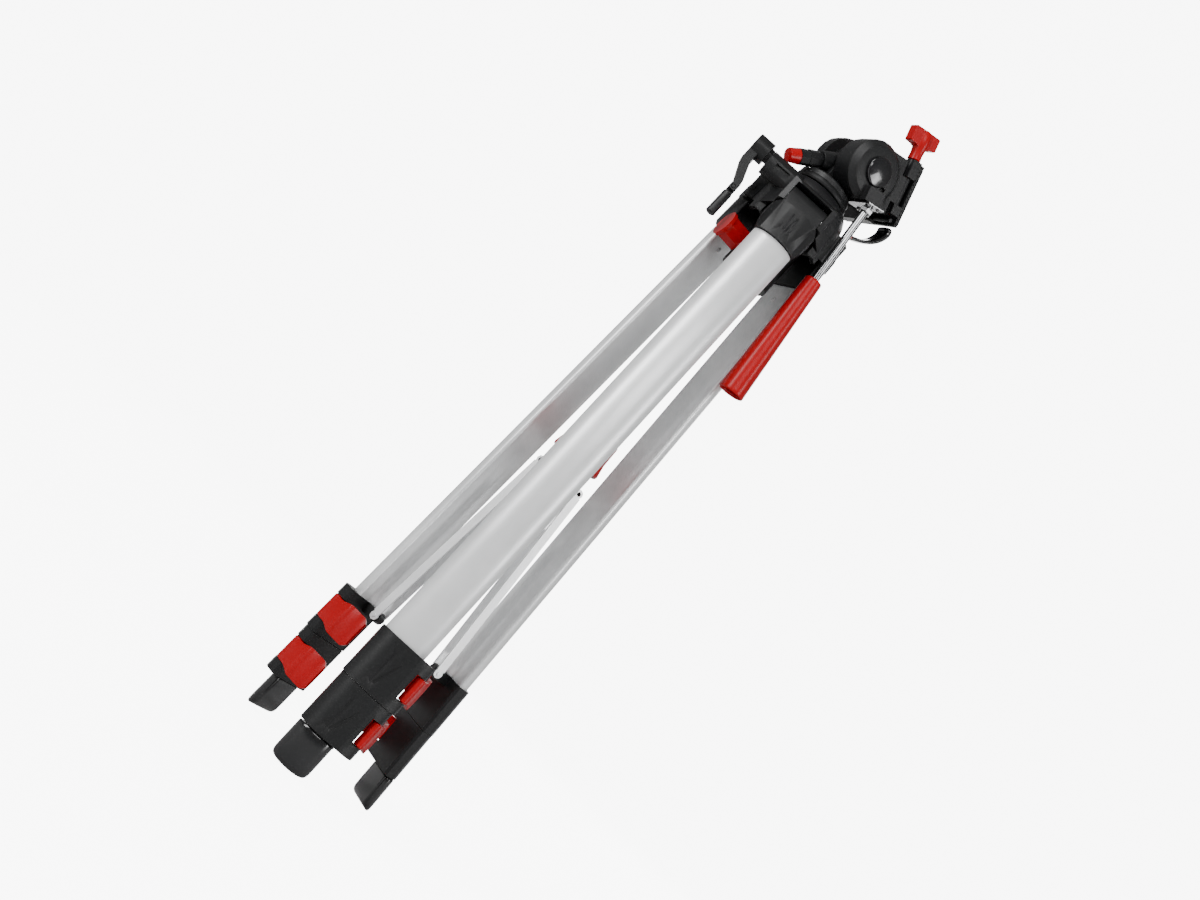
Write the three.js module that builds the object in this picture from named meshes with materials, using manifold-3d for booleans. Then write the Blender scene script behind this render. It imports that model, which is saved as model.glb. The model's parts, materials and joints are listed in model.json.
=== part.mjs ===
// Folding three-leg tripod with a geared centre column and a pan-and-tilt head, folded for carrying.
// Units are millimetres and +Z is up. X = Y = 0 is the centre column's axis and Z = 0 is the level of
// the foot tips. The front leg is on the -Y side; the others are copies of it at 120 degree steps.
import * as THREE from "three";
import { mergeVertices } from "three/addons/utils/BufferGeometryUtils.js";
import Module from "manifold-3d";

const DEG = Math.PI / 180;
const GAP = 0.3;
const LEG_STEP = 120 * DEG;
const ARC_STEPS = 8;

// Legs: the leg frame has its origin on the hinge pin, +Z up the leg and -Y away from the column.
const HINGE_RADIUS = 26;
const HINGE_HEIGHT = 397;
const FOLDED_SPLAY = 2.17 * DEG;
const OPEN_SPLAY = 20.7 * DEG;
const INNER_FACE = 3.6;
const UPPER = { width: 26, depth: 10, wall: 0.9, top: -27, bottom: -337 };
const MIDDLE = { width: 23.6, depth: 7.6, wall: 0.8, top: -62, bottom: -367 };
const LOWER = { width: 21.4, depth: 5.4, wall: 0.8, top: -74, bottom: -375 };
const COLLAR_TOP = -315;
const COLLAR_HEIGHT = 30;
const COLLAR_SIDES = [-14.4, 20.9];
const COLLAR_DEPTH = 12.1;
const COLLAR_GROOVES = { count: 3, spread: 19 * DEG, pitch: 1.9, radius: 1.2, sunk: 0.55, shorter: 1.5 };
const FITTING_GROOVES = { count: 4, spread: 9 * DEG, pitch: 2, radius: 0.8, sunk: 0.7, shorter: 0.8 };
const FOOT_TIP = -397.5;
const FOOT = { width: 22, depth: 8.6, wrap: 1.4, offset: -1.8, plug: 14 };
const FITTING = { width: 31.8, depth: 12.6, tabHalf: 11.8, tabRadius: 5.6, plugEnd: -52 };

// Flip levers on the collars' side ears.
const LEVER_PIN = { x: 18.7, y: -0.4 };
const LEVER_LENGTH = 24.5;
const LEVER_HEIGHT = 19.4;
const LEVER_ROOT_HEIGHT = 15;
const LOWER_TRIM = 1.3;

// Spreader: three channel struts between the upper collars and a floating hub.
const STRUT_FOOT = { radius: 24.6, height: 79.3 };
const STRUT_HEAD = { radius: 14, height: 201 };
const STRUT = { half: 4.2, sheet: 0.9, back: -2.6, front: 2.2, ear: 2.7, webStart: 11, webEnd: 26 };
const HUB_RADIUS = 7;

// Crown, centre column and crank.
const BORE_RADIUS = 11.4;
const COLUMN_RADIUS = 11;
const COLUMN_WALL = 1.4;
const COLUMN_BOTTOM = 226;
const COLUMN_TOP = 417;
const SLEEVE_RADIUS = 15.4;
const SLEEVE_BOTTOM = 354;
const CROWN_TOP = 416.4;
const LOBE_REACH = 32.4;
const WINDOW_HALF_WIDTH = 12.2;
const WINDOW_TOP = 405;
const WINDOW_BOTTOM = 391.6;
const TOOTH_MODULE = 1;
const PINION_TEETH = 9;
const RACK_LINE = 12;
const CRANK = { y: -(RACK_LINE + (TOOTH_MODULE * PINION_TEETH) / 2), z: 409.5 };
const CRANK_ARM = { outer: -45.2, step: -39.6, tip: -39.45, inner: -35.3, width: 9.2, low: 379.4, high: 408 };
const GRIP_HINGE = { x: (CRANK_ARM.tip + CRANK_ARM.inner) / 2, z: 381.4 };
const GRIP_BOTTOM = 363;
const LOCK = { z: 366.3, turn: 20 * DEG, boss: 7.2, body: 7.6 };
const LOCK_FLANGE = { radius: 8.2, outer: -29.8, inner: -27.6 };

// Head: turned to lie beside the right leg, with the tilt axis across it.
const PAN_TURN = 30 * DEG;
const PAN_FLOOR = 421.6;
const TILT = { x: 5, z: 445, stowed: 69.6 * DEG };
const DRUM_RADIUS = 18;
const DRUM = { near: 24.2, inner: 7.2, far: 19 };
const PLATFORM = { front: -18.9, rear: 20.2, near: -21, far: 26.8, floor: 22, seat: 28.3, top: 32.5 };
const FLIP = { y: -16.4, z: 24.6 };
const HANDLE = { x: 19.1, y: -24.7, z: 3.6, droop: 14.05 * DEG };
const ROD = { radius: 2.35, inner: -9, outer: 55, bore: 2.7 };
const GRIP = { start: 52.6, end: 131.6, slim: 5.2, wide: 7.7 };
const PAN_LEVER = { x: -4, z: 441.4, lean: -130 * DEG };
const PLATE_SCREW_Y = 2;
const RELEASE_PIN = { x: 17.6, z: 25.2 };
const RELEASE_SPAN = [-20.4, -8.6];

const FINISH = {
  alloy: new THREE.MeshStandardMaterial({ color: 0xc9cacb, roughness: 0.4, metalness: 0.8 }),
  black: new THREE.MeshStandardMaterial({ color: 0x2b2c2e, roughness: 0.65, metalness: 0 }),
  gloss: new THREE.MeshStandardMaterial({ color: 0x111214, roughness: 0.18, metalness: 0 }),
  red: new THREE.MeshStandardMaterial({ color: 0xd4102c, roughness: 0.3, metalness: 0 }),
  steel: new THREE.MeshStandardMaterial({ color: 0xdadbdc, roughness: 0.15, metalness: 1 }),
  rubber: new THREE.MeshStandardMaterial({ color: 0x1b1b1c, roughness: 0.9, metalness: 0 }),
};

const wasm = await Module();
wasm.setup();

// ---- Joining and cutting closed shapes ----

function toSolid(geometry) {
  const loose = geometry.index ? geometry.toNonIndexed() : geometry.clone();
  loose.deleteAttribute("normal");
  loose.deleteAttribute("uv");
  const merged = mergeVertices(loose, 1e-4);
  const vertProperties = merged.attributes.position.array;
  const triVerts = new Uint32Array(merged.index.array);
  return new wasm.Manifold(new wasm.Mesh({ numProp: 3, vertProperties, triVerts }));
}

function toGeometry(solid) {
  const { vertProperties, triVerts } = solid.getMesh();
  const geometry = new THREE.BufferGeometry();
  geometry.setAttribute("position", new THREE.BufferAttribute(vertProperties, 3));
  geometry.setIndex(new THREE.BufferAttribute(triVerts, 1));
  return geometry;
}

function join(...shapes) {
  return toGeometry(shapes.map(toSolid).reduce((whole, shape) => whole.add(shape)));
}

function cut(body, ...tools) {
  return toGeometry(tools.map(toSolid).reduce((rest, tool) => rest.subtract(tool), toSolid(body)));
}

function common(first, second) {
  return toGeometry(toSolid(first).intersect(toSolid(second)));
}

// ---- Placed primitives ----

function block([x0, x1], [y0, y1], [z0, z1]) {
  const box = new THREE.BoxGeometry(x1 - x0, y1 - y0, z1 - z0);
  return box.translate((x0 + x1) / 2, (y0 + y1) / 2, (z0 + z1) / 2);
}

function rodX(radius, [x0, x1], y, z, endRadius = radius, sides = 12) {
  const rod = new THREE.CylinderGeometry(endRadius, radius, x1 - x0, sides);
  return rod.rotateZ(-90 * DEG).translate((x0 + x1) / 2, y, z);
}

function rodY(radius, x, [y0, y1], z, endRadius = radius, sides = 12) {
  const rod = new THREE.CylinderGeometry(endRadius, radius, y1 - y0, sides);
  return rod.translate(x, (y0 + y1) / 2, z);
}

function rodZ(radius, x, y, [z0, z1], endRadius = radius, sides = 12) {
  const rod = new THREE.CylinderGeometry(endRadius, radius, z1 - z0, sides);
  return rod.rotateX(90 * DEG).translate(x, y, (z0 + z1) / 2);
}

// A closed outline in the XY plane, raised from z0 to z1.
function raise(outline, [z0, z1], steps = 12) {
  const options = { depth: z1 - z0, bevelEnabled: false, curveSegments: steps };
  return new THREE.ExtrudeGeometry(outline, options).translate(0, 0, z0);
}

// An outline drawn in (y, z) and thickened along X.
function raiseAlongX(outline, [x0, x1], steps = 12) {
  const solid = raise(outline, [0, x1 - x0], steps);
  return solid.rotateX(90 * DEG).rotateZ(90 * DEG).translate(x0, 0, 0);
}

// An outline drawn in (x, z) and thickened along Y.
function raiseAlongY(outline, [y0, y1], steps = 12) {
  return raise(outline, [0, y1 - y0], steps).rotateX(90 * DEG).translate(0, y1, 0);
}

// A solid of revolution about Z from a closed (radius, height) outline.
function turned(profile, sides = 20) {
  const points = profile.map(([radius, height]) => new THREE.Vector2(radius, height));
  if (THREE.ShapeUtils.isClockWise(points)) points.reverse();
  if (points[0].x > 0) points.push(points[0].clone());
  return new THREE.LatheGeometry(points, sides).rotateX(90 * DEG);
}

function polygon(points) {
  return new THREE.Shape(points.map(([x, y]) => new THREE.Vector2(x, y)));
}

function addPiece(parent, name, finish, geometry) {
  const mesh = new THREE.Mesh(geometry, FINISH[finish]);
  mesh.name = name;
  parent.add(mesh);
  return mesh;
}

// ---- Leg sections ----

// D outline: flat on the column side (+Y), round on the outside.
function dOutline(width, depth, flat) {
  const corner = Math.min(1.2, depth / 5);
  const half = width / 2;
  const points = [[-half, flat - corner]];
  for (let i = 1; i < ARC_STEPS; i++) {
    const angle = (i / ARC_STEPS) * Math.PI;
    points.push([-half * Math.cos(angle), flat - corner - (depth - corner) * Math.sin(angle)]);
  }
  points.push([half, flat - corner], [half - corner, flat], [-half + corner, flat]);
  return points;
}

function dSolid(width, depth, flat, span) {
  return raise(polygon(dOutline(width, depth, flat)), span);
}

function dTube({ width, depth, wall, top, bottom }, flat) {
  const outline = polygon(dOutline(width, depth, flat));
  outline.holes.push(polygon(dOutline(width - 2 * wall, depth - 2 * wall, flat - wall)));
  return raise(outline, [bottom, top]);
}

// Full, squarish D for the moulded collars, between two side faces.
function collarOutline([left, right], depth, flat) {
  const power = 2.8;
  const half = (right - left) / 2;
  const points = [];
  for (let i = 0; i <= ARC_STEPS; i++) {
    const angle = (i / ARC_STEPS) * Math.PI;
    const x = -half * Math.sign(Math.cos(angle)) * Math.abs(Math.cos(angle)) ** (2 / power);
    const y = -(depth - 1.5) * Math.sin(angle) ** (2 / power);
    points.push([left + half + x, flat - 1.5 + y]);
  }
  points.push([right - 1, flat], [left + 1, flat]);
  return polygon(points);
}

// Round-ended grooves fanned out from just above the lower edge, shorter towards one side.
function grooves({ count, spread, pitch, radius, sunk, shorter }, top, bottom, face) {
  const tools = [];
  for (let i = 0; i < count; i++) {
    const side = i - (count - 1) / 2;
    const length = top - bottom - i * shorter;
    const groove = new THREE.CapsuleGeometry(radius, length, 2, 6).rotateX(90 * DEG);
    const shift = side * (pitch + (length / 2) * Math.sin(spread));
    groove.rotateY(side * spread).translate(shift, face - radius + sunk, bottom + length / 2);
    tools.push(groove);
  }
  return tools;
}

function collar(top, trim, tubeFit) {
  const bottom = top - COLLAR_HEIGHT + GAP;
  const flat = INNER_FACE + 1;
  const middle = (top + bottom) / 2;
  const slotHalf = LEVER_ROOT_HEIGHT / 2 + 0.4;
  const sides = [COLLAR_SIDES[0] + trim / 2, COLLAR_SIDES[1] - trim];
  const body = raise(collarOutline(sides, COLLAR_DEPTH, flat), [bottom, top]);
  const slot = block([15 - trim, 24], [-12, flat + 2], [middle - slotHalf, middle + slotHalf]);
  const pinHole = rodZ(1.5, LEVER_PIN.x - trim, LEVER_PIN.y, [bottom - 1, top + 1], 1.5, 12);
  const bore = dSolid(tubeFit.width, tubeFit.depth, tubeFit.flat, [bottom - 1, top + 1]);
  const lines = grooves(COLLAR_GROOVES, top - 6, bottom + 5, flat - COLLAR_DEPTH);
  return cut(body, slot, pinHole, bore, ...lines);
}

function upperCollar() {
  const { width, depth } = UPPER;
  const tubeFit = { width: width + 2 * GAP, depth: depth + 2 * GAP, flat: INNER_FACE + GAP };
  const shell = collar(COLLAR_TOP, 0, tubeFit);
  const foot = strutFootInLeg();
  const lug = join(
    block([-2.6, 2.6], [INNER_FACE + 0.9, foot.y], [foot.z - 3.4, foot.z + 2.6]),
    rodX(3.4, [-2.6, 2.6], foot.y, foot.z),
  );
  return cut(join(shell, lug), rodX(1.35, [-4, 4], foot.y, foot.z, 1.35, 8));
}

function lowerCollar() {
  const { width, depth } = MIDDLE;
  const flat = INNER_FACE - UPPER.wall - GAP;
  const tubeFit = { width: width + 2 * GAP, depth: depth + 2 * GAP, flat: flat + GAP };
  return collar(COLLAR_TOP - COLLAR_HEIGHT, LOWER_TRIM, tubeFit);
}

function leverBlade(middle) {
  const root = LEVER_ROOT_HEIGHT / 2;
  const tip = LEVER_HEIGHT / 2;
  const outline = new THREE.Shape();
  outline.moveTo(LEVER_PIN.y - 1.6, middle - root);
  outline.lineTo(4.6, middle - root);
  outline.bezierCurveTo(8, middle - root, 9, middle - tip, 14, middle - tip);
  outline.lineTo(LEVER_LENGTH - 3, middle - tip);
  outline.quadraticCurveTo(LEVER_LENGTH, middle - tip, LEVER_LENGTH, middle - tip + 4);
  outline.lineTo(LEVER_LENGTH, middle + tip - 4);
  outline.quadraticCurveTo(LEVER_LENGTH, middle + tip, LEVER_LENGTH - 3, middle + tip);
  outline.lineTo(14, middle + tip);
  outline.bezierCurveTo(9, middle + tip, 8, middle + root, 4.6, middle + root);
  outline.lineTo(LEVER_PIN.y - 1.6, middle + root);
  return raiseAlongX(outline, [18.8, 22], 4);
}

function flipLever(top, trim) {
  const middle = top - COLLAR_HEIGHT / 2 + GAP / 2;
  const span = [middle - LEVER_ROOT_HEIGHT / 2, middle + LEVER_ROOT_HEIGHT / 2];
  const reach = COLLAR_HEIGHT / 2 - 2;
  const barrel = rodZ(2.9, LEVER_PIN.x, LEVER_PIN.y, span);
  const pin = rodZ(1.2, LEVER_PIN.x, LEVER_PIN.y, [middle - reach, middle + reach], 1.2, 12);
  return join(leverBlade(middle), barrel, pin).translate(-trim, 0, 0);
}

function footBoot() {
  const inner = INNER_FACE - UPPER.wall - MIDDLE.wall - LOWER.wall - 3 * GAP;
  const flat = inner + FOOT.wrap;
  const top = LOWER.bottom - GAP;
  const body = dSolid(FOOT.width, FOOT.depth, flat, [FOOT_TIP - 4, top]).translate(FOOT.offset, 0, 0);
  const plug = dSolid(LOWER.width - 2 * LOWER.wall - 2 * GAP, 3, inner, [top - 1, top + FOOT.plug]);
  const ground = block([-30, 30], [-40, 40], [-20, 0]);
  ground.rotateX(OPEN_SPLAY).translate(0, flat - FOOT.depth, FOOT_TIP);
  return cut(join(body, plug), ground);
}

function topFitting() {
  const { tabHalf, tabRadius } = FITTING;
  const barrel = polygon([
    [-13.3, UPPER.top + GAP], [-15.2, -20.6], [-15.9, -14.5], [-15.4, -9.4], [-12.6, -6.4],
    [12.6, -6.4], [15.4, -9.4], [15.9, -14.5], [15.2, -20.6], [13.3, UPPER.top + GAP],
  ]);
  const front = raiseAlongY(barrel, [-20, 20]);
  const section = dSolid(FITTING.width, FITTING.depth, INNER_FACE + 0.6, [UPPER.top - 1, 0]);
  const tab = join(
    block([-tabHalf, tabHalf], [-5.4, INNER_FACE], [-8, 0.4]),
    rodX(tabRadius, [-tabHalf, tabHalf], 0.2, 0.4),
  );
  const plugWidth = UPPER.width - 2 * UPPER.wall - 2 * GAP;
  const plug = dSolid(plugWidth, 7.4, INNER_FACE - UPPER.wall - GAP, [FITTING.plugEnd, UPPER.top + 1]);
  const pinHole = rodX(1.9, [-14, 14], 0, 0, 1.9, 14);
  const lines = grooves(FITTING_GROOVES, -9.6, -20.4, INNER_FACE - 12);
  return cut(join(common(front, section), tab, plug), pinHole, ...lines);
}

// ---- Spreader ----

// The strut foot pivot, from the tripod frame into the leg frame.
function strutFootInLeg() {
  const out = STRUT_FOOT.radius - HINGE_RADIUS;
  const up = STRUT_FOOT.height - HINGE_HEIGHT;
  const cos = Math.cos(FOLDED_SPLAY);
  const sin = Math.sin(FOLDED_SPLAY);
  return { y: -out * cos - up * sin, z: -out * sin + up * cos };
}

function strutLength() {
  return Math.hypot(STRUT_HEAD.height - STRUT_FOOT.height, STRUT_FOOT.radius - STRUT_HEAD.radius);
}

// Channel strut standing on its lower pivot: the web faces away from the column.
function strut() {
  const { half, sheet, back, front, ear, webStart, webEnd } = STRUT;
  const length = strutLength();
  const web = block([-half, half], [back, back + sheet], [webStart, length - webEnd]);
  const flanges = [-half, half - sheet].map((x) => {
    const side = block([x, x + sheet], [back, front], [2, length - 2]);
    const foot = rodX(ear, [x, x + sheet], 0, 0, ear, 8);
    const head = rodX(ear, [x, x + sheet], 0, length, ear, 8);
    return join(side, foot, head);
  });
  const rivet = rodX(1.05, [-half - 0.6, half + 0.6], 0, 0, 1.05, 8);
  return cut(join(web, ...flanges, rivet), rodX(1.35, [-6, 6], 0, length, 1.35, 8));
}

function spreaderHub() {
  const low = STRUT_HEAD.height - 6;
  const high = STRUT_HEAD.height + 2.8;
  let hub = turned([
    [0, low], [HUB_RADIUS - 1, low], [HUB_RADIUS, low + 1],
    [HUB_RADIUS, high - 1], [HUB_RADIUS - 1, high], [0, high],
  ], 16);
  for (let i = 0; i < 3; i++) {
    const lug = join(
      block([-2.3, 2.3], [-STRUT_HEAD.radius, 0], [low + 1, high - 0.4]),
      rodX(3.2, [-2.3, 2.3], -STRUT_HEAD.radius, STRUT_HEAD.height - 0.4),
    ).rotateZ(i * LEG_STEP);
    hub = join(hub, lug);
  }
  return hub;
}

// ---- Crown ----

function crownShell() {
  const dome = turned([
    [0, CROWN_TOP], [19.5, CROWN_TOP], [22.2, 414.6], [24.4, 410.4],
    [25.6, 404], [26.2, 398], [26.8, 383], [0, 383],
  ]);
  const hollow = turned([[0, 404], [22.6, 404], [23.4, 397], [24, 380], [0, 380]]);
  const sleeve = rodZ(SLEEVE_RADIUS, 0, 0, [SLEEVE_BOTTOM, 410], SLEEVE_RADIUS, 24);
  return join(cut(dome, hollow), sleeve);
}

// Rounded lobe over one leg hinge.
function hingeLobe() {
  const half = 15.4;
  const hood = rodX(9.6, [-half, half], -23, 399.6, 9.6, 16);
  const cheeks = [-1, 1].map((side) => {
    const span = side < 0 ? [-half, -WINDOW_HALF_WIDTH] : [WINDOW_HALF_WIDTH, half];
    return block(span, [-30.4, -SLEEVE_RADIUS + 1], [WINDOW_BOTTOM, 401]);
  });
  return common(join(hood, ...cheeks), rodZ(LOBE_REACH, 0, 0, [380, 415], LOBE_REACH, 24));
}

function legWindow() {
  const wide = WINDOW_HALF_WIDTH;
  const opening = block([-wide, wide], [-45, -SLEEVE_RADIUS - 0.4], [378, WINDOW_TOP]);
  const flare = polygon([
    [-13.2, WINDOW_BOTTOM], [13.2, WINDOW_BOTTOM], [27, 384], [27, 378], [-27, 378], [-27, 384],
  ]);
  const swing = block([-18, 18], [-16, 4.4], [-30, -5.9]);
  swing.rotateX(-OPEN_SPLAY).translate(0, -HINGE_RADIUS, HINGE_HEIGHT);
  const pinHole = rodX(1.9, [-20, 20], -HINGE_RADIUS, HINGE_HEIGHT, 1.9, 14);
  return [opening, raiseAlongY(flare, [-45, -SLEEVE_RADIUS - 0.4]), swing, pinHole];
}

function crankBoss() {
  return rodX(7.4, [-33, -12], CRANK.y, 406.6, 7.4, 14);
}

function lockBoss() {
  return rodX(LOCK.boss, [-15.7, -12], 0, LOCK.z, LOCK.boss, 14).rotateZ(LOCK.turn);
}

function crown() {
  let body = join(crownShell(), crankBoss(), lockBoss());
  for (let i = 0; i < 3; i++) {
    const turn = (shape) => shape.rotateZ(i * LEG_STEP);
    body = cut(join(body, turn(hingeLobe())), ...legWindow().map(turn));
  }
  const bore = rodZ(BORE_RADIUS, 0, 0, [350, 420], BORE_RADIUS, 24);
  const rackSlot = block([-3.5, 3.5], [-13.4, 0], [350, 420]);
  const pinionBay = rodX(6.1, [-4.6, 4.6], CRANK.y, CRANK.z);
  const bayMouth = block([-4.6, 4.6], [CRANK.y, -8], [CRANK.z - 4, CRANK.z + 4]);
  const shaftBore = rodX(2.8, [-40, 9], CRANK.y, CRANK.z, 2.8, 14);
  const lockBore = rodX(2.5, [-20, -8], 0, LOCK.z, 2.5, 14).rotateZ(LOCK.turn);
  const pocket = block([-28, -18.4], [CRANK.y - 10, CRANK.y - 6], [400.6, 407]);
  return cut(body, bore, rackSlot, pinionBay, bayMouth, shaftBore, lockBore, pocket);
}

function hingePin() {
  return rodX(1.6, [-15, 15], -HINGE_RADIUS, HINGE_HEIGHT, 1.6, 14);
}

// ---- Centre column ----

function column() {
  const outline = new THREE.Shape();
  outline.absarc(0, 0, COLUMN_RADIUS, 0, 2 * Math.PI, false);
  const bore = new THREE.Path();
  bore.absarc(0, 0, COLUMN_RADIUS - COLUMN_WALL, 0, 2 * Math.PI, true);
  outline.holes.push(bore);
  const tube = raise(outline, [COLUMN_BOTTOM, COLUMN_TOP], 12);
  return cut(tube, block([-2.7, 2.7], [-20, 0], [COLUMN_BOTTOM + 14, COLUMN_TOP + 1]));
}

// Toothed strip set into the column's front slot.
function rack() {
  const pitch = Math.PI * TOOTH_MODULE;
  const low = COLUMN_BOTTOM + 14 + GAP;
  const high = COLUMN_TOP - GAP;
  const root = -(RACK_LINE - 1);
  const crest = -(RACK_LINE + 0.7);
  const points = [[-9.9, low], [-9.9, high], [root, high]];
  const first = Math.ceil((low + 2 - CRANK.z) / pitch - 0.5);
  const last = Math.floor((high - 2 - CRANK.z) / pitch - 0.5);
  for (let i = last; i >= first; i--) {
    const z = CRANK.z + (i + 0.5) * pitch;
    points.push([root, z + 0.95], [crest, z + 0.3], [crest, z - 0.3], [root, z - 0.95]);
  }
  points.push([root, low]);
  return raiseAlongX(polygon(points), [-2.4, 2.4]);
}

function columnCap() {
  const low = 212.3;
  const seat = COLUMN_BOTTOM - GAP;
  const bore = COLUMN_RADIUS + GAP;
  return turned([
    [8.4, seat], [8.4, low + 10], [13, low + 1.2], [14.2, low], [15, low + 0.2], [15.4, low + 1.6],
    [13.9, low + 9], [13.4, low + 20.6], [12.9, low + 21.4], [bore, low + 21.4], [bore, seat],
  ]);
}

function panBase() {
  const low = CROWN_TOP + GAP;
  const high = PAN_FLOOR - GAP;
  const disc = turned([[0, low], [15, low], [18, low + 1.4], [18.6, low + 2.6], [18, high], [0, high]]);
  const clearance = rodZ(COLUMN_RADIUS + GAP, 0, 0, [410, COLUMN_TOP + GAP], COLUMN_RADIUS + GAP, 20);
  const plug = rodZ(9.3, 0, 0, [400, 418], 9.3, 16);
  return cut(join(cut(disc, clearance), plug), rodZ(3.3, 0, 0, [395, 430]));
}

// ---- Crank ----

function crankShaft() {
  return join(rodX(2.5, [-38, 8], CRANK.y, CRANK.z, 2.5, 14), pinion());
}

function pinion() {
  const radius = (TOOTH_MODULE * PINION_TEETH) / 2;
  const points = [];
  for (let i = 0; i < PINION_TEETH; i++) {
    const middle = (i / PINION_TEETH) * 2 * Math.PI;
    for (const [lead, reach] of [[-0.22, -0.95], [-0.07, 0.6], [0.07, 0.6], [0.22, -0.95]]) {
      const angle = middle + lead;
      points.push([(radius + reach) * Math.cos(angle), (radius + reach) * Math.sin(angle)]);
    }
  }
  return raiseAlongX(polygon(points), [-3.6, 3.6]).translate(0, CRANK.y, CRANK.z);
}

function crankArm() {
  const { outer, step, tip, inner, width, low, high } = CRANK_ARM;
  const hub = rodX(7, [outer, inner - 0.1], CRANK.y, CRANK.z, 7, 16);
  const neck = rodX(4.6, [-36, -33.4], CRANK.y, CRANK.z);
  const bar = polygon([
    [outer, high], [outer, 397.6], [tip, 385.2], [tip, low],
    [inner, low], [inner, 387.2], [step, 398.6], [step, high],
  ]);
  const arm = raiseAlongY(bar, [CRANK.y - width / 2, CRANK.y + width / 2]);
  const slot = block([-46, -30], [CRANK.y - 2.3, CRANK.y + 2.3], [370, 384.2]);
  const bore = rodX(2.7, [-44, -30], CRANK.y, CRANK.z, 2.7, 12);
  const pinHole = rodY(1.3, GRIP_HINGE.x, [CRANK.y - 6, CRANK.y + 6], GRIP_HINGE.z, 1.3, 12);
  return cut(join(hub, neck, arm), bore, slot, pinHole);
}

function crankGrip() {
  const { x, z } = GRIP_HINGE;
  const eye = rodY(2.2, x, [CRANK.y - 2, CRANK.y + 2], z);
  const ear = block([x - 2.2, x + 2.2], [CRANK.y - 2, CRANK.y + 2], [z - 5, z]);
  const pin = rodY(1, x, [CRANK.y - 4.6, CRANK.y + 4.6], z);
  const bar = rodZ(2.9, x, CRANK.y, [GRIP_BOTTOM, z - 3.7], 2.8, 14);
  const end = new THREE.SphereGeometry(2.9, 14, 4).scale(1, 1, 0.4);
  end.translate(x, CRANK.y, GRIP_BOTTOM + 0.1);
  return join(eye, ear, pin, bar, end);
}

function lockKnob() {
  const { radius, outer, inner } = LOCK_FLANGE;
  const flange = rodX(radius, [outer, inner], 0, LOCK.z, radius - 0.2, 18);
  const body = rodX(LOCK.body, [inner - 0.5, -16], 0, LOCK.z, LOCK.body - 0.2, 8);
  const screw = rodX(2.2, [-17, -11.4], 0, LOCK.z, 2.2, 12);
  return join(flange, body, screw).rotateZ(LOCK.turn);
}

// ---- Head, drawn with X toward the operator's side and the tilt axis along Y ----

// Turns a piece drawn standing on the origin into the pan lever's place.
function alongPanLever(shape) {
  return shape.rotateY(PAN_LEVER.lean).translate(PAN_LEVER.x, 0, PAN_LEVER.z);
}

function panHousing() {
  const skirt = turned([[0, PAN_FLOOR], [17.6, PAN_FLOOR], [17.4, 424.7], [16.2, 425.8], [0, 425.8]]);
  const tongue = join(
    rodY(12.6, TILT.x, [-6.8, 6.8], TILT.z, 12.6, 18),
    block([-8.2, 15], [-6.8, 6.8], [425, 443]),
  );
  const boss = alongPanLever(rodZ(6, 0, 0, [-2, 14], 5.2, 16));
  const axle = rodY(3.4, TILT.x, [-10, 10], TILT.z);
  const spindle = rodZ(3.4, 0, 0, [410, 425]);
  const screw = alongPanLever(rodZ(2.3, 0, 0, [3, 30], 2.3, 12));
  const relief = alongPanLever(rodZ(5.5, 0, 0, [14, 32], 5.5, 12));
  return cut(join(cut(join(skirt, tongue), relief), boss), axle, spindle, screw);
}

function panSpindle() {
  return join(rodZ(3, 0, 0, [398, 424.6], 3, 14), rodZ(5.4, 0, 0, [395.6, 399.6], 5.4, 6));
}

function panLever() {
  const stem = rodZ(2, 0, 0, [3.4, 17], 2, 12);
  const base = rodZ(4.4, 0, 0, [14.4, 18], 4.8, 8);
  const middle = rodZ(4.8, 0, 0, [17.6, 23], 5, 8);
  const end = rodZ(4.6, 0, 0, [22.6, 29], 4.7, 8);
  return alongPanLever(join(stem, base, middle, end));
}

function panLeverCap() {
  return alongPanLever(rodZ(4.6, 0, 0, [29.3, 36.4], 4, 12));
}

function drum(y0, y1, side) {
  const shape = turned([
    [0, y0], [DRUM_RADIUS, y0], [DRUM_RADIUS, y1 - 4], [DRUM_RADIUS - 3.4, y1 - 0.6], [10.4, y1], [0, y1],
  ], 22);
  return shape.rotateX(-side * 90 * DEG);
}

function tiltBody() {
  const bridge = block([-13, 13], [-10, 17], [13.8, PLATFORM.floor - 0.6]);
  const shelf = block([-16.5, 16.5], [-20, -DRUM.inner], [3, 19.2]);
  const rear = block([9.2, 17.6], [-27.6, -8], [-3, 9]);
  const knuckle = join(
    block([-8, 8], [FLIP.y - 3, FLIP.y + 3], [18, FLIP.z]),
    rodX(3.3, [-8, 8], FLIP.y, FLIP.z),
  );
  const cheeks = join(drum(DRUM.inner, DRUM.near, -1), drum(DRUM.inner, DRUM.far, 1));
  const whole = join(cheeks, bridge, shelf, rear, knuckle);
  const axle = rodY(3.4, 0, [-DRUM.near + 2, DRUM.far - 2], 0);
  const bolt = rodX(1.9, [-30, 30], FLIP.y, FLIP.z, 1.9, 12);
  return cut(whole, axle, bolt, handleShape(ROD.bore, [-14, 30]));
}

function handleShape(radius, span, endRadius = radius, sides = 14) {
  const rod = rodX(radius, span, 0, 0, endRadius, sides);
  return rod.rotateY(HANDLE.droop).translate(HANDLE.x, HANDLE.y, HANDLE.z);
}

function tiltAxle() {
  return rodY(3, 0, [-DRUM.near + 2.4, DRUM.far - 2.4], 0);
}

function axleCap() {
  const cap = turned([[0, GAP], [8.6, GAP], [8.6, 1.6], [7.8, 2.2], [0, 2.4]], 18);
  return cap.rotateX(90 * DEG).translate(0, -DRUM.near, 0);
}

function handleStrap() {
  const plate = block([18.3, 19.3], [-31, -9], [-2, 10]);
  return cut(plate, handleShape(ROD.bore, [-14, 30]));
}

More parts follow.
